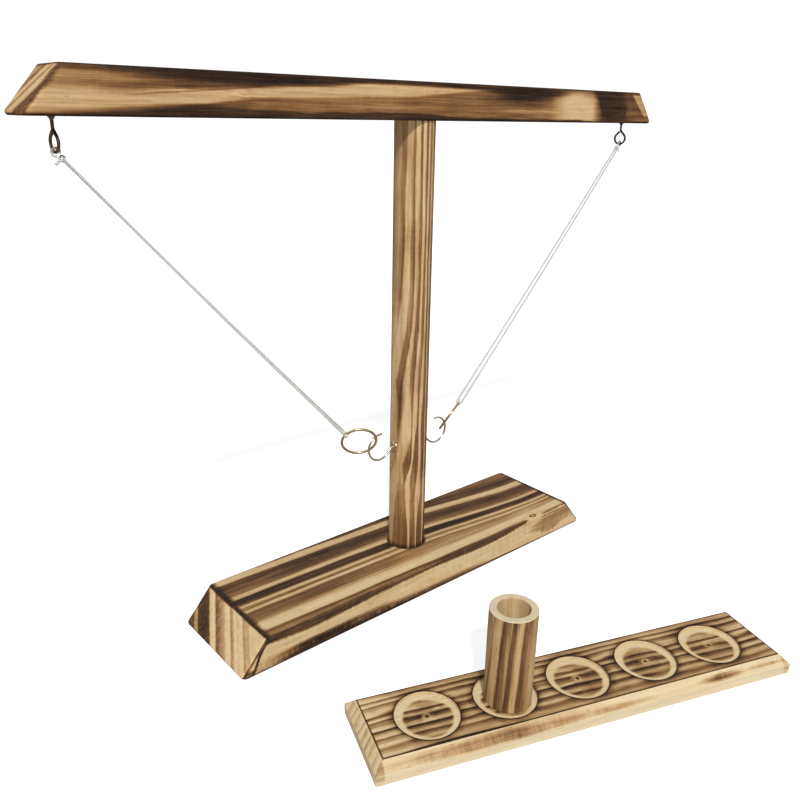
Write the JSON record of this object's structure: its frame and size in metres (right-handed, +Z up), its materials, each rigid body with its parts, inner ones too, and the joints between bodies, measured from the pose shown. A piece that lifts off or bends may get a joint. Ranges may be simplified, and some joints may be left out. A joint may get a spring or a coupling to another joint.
{
  "type": "ring toss set",
  "caption": "Wooden tabletop ring toss game: a post and cross beam with rings on cords, cup hooks to catch them, and a separate ladder board with a cup.",
  "frame": {"origin": "centre of the base block's underside, on the post's axis", "axes": "+X along the beam and the base to the right, +Y to the back, +Z up; the ladder board lies in front on -Y"},
  "size_m": [0.6104, 0.3636, 0.4427],
  "materials": {
    "base_pine": "burnt and rubbed pine, satin",
    "post_pine": "burnt and rubbed pine, satin",
    "beam_pine": "burnt and rubbed pine, satin",
    "board_pine": "burnt and rubbed pine, satin",
    "cup_pine": "burnt and rubbed pine, satin",
    "screw_steel": "yellow zinc, satin",
    "eye_bronze": "bronzed wire",
    "eye_grey": "dark plated wire",
    "hook_steel": "bright plated wire",
    "brass": "polished, slightly aged",
    "cord": "twisted white cotton cord"
  },
  "bodies": {
    "stand": {"base": "base_pine", "post": "post_pine", "beam": "beam_pine", "base_screw": "screw_steel", "dowel_screw": "screw_steel", "screw_eye_left": "eye_bronze", "screw_eye_right": "eye_grey", "hook_left": "hook_steel", "hook_right": "hook_steel", "hook_flange_left": "brass", "hook_flange_right": "brass"},
    "cord_left": {"cord_left_a": "cord", "cord_left_b": "cord", "eye_knot_left": "cord", "ring_hitch_left": "cord"},
    "cord_right": {"cord_right_a": "cord", "cord_right_b": "cord", "eye_knot_right": "cord", "ring_hitch_right": "cord"},
    "loose_ring_left": {"ring_left": "brass"},
    "loose_ring_right": {"ring_right": "brass"},
    "board": {"ladder_board": "board_pine"},
    "drinking_cup": {"cup": "cup_pine"}
  },
  "joints": [
    {"name": "cord_left_swing", "type": "hinge", "parent": "stand", "child": "cord_left", "pos_m": [-0.284, 0, 0.3935], "axis": [-0.1901, -0.9734, -0.1281], "range_deg": [0, 4.6]},
    {"name": "cord_right_swing", "type": "hinge", "parent": "stand", "child": "cord_right", "pos_m": [0.2815, 0, 0.3935], "axis": [-0.092, 0.9916, 0.091], "range_deg": [0, 4.6]},
    {"name": "ring_left_flip", "type": "hinge", "parent": "cord_left", "child": "loose_ring_left", "pos_m": [-0.06515, 0.00886, 0.15333], "axis": [-0.3577, 0.6049, -0.7114], "range_deg": [0, 8]},
    {"name": "ring_right_flip", "type": "hinge", "parent": "cord_right", "child": "loose_ring_right", "pos_m": [0.06264, -0.00138, 0.15792], "axis": [0.6614, 0.6652, -0.3466], "range_deg": [0, 8]},
    {"name": "board_lift", "type": "slide", "parent": "stand", "child": "board", "axis": [0, 0, 1], "range_m": [0, 0.1]},
    {"name": "cup_lift", "type": "slide", "parent": "board", "child": "drinking_cup", "axis": [0, 0, 1], "range_m": [0, 0.1]}
  ]
}
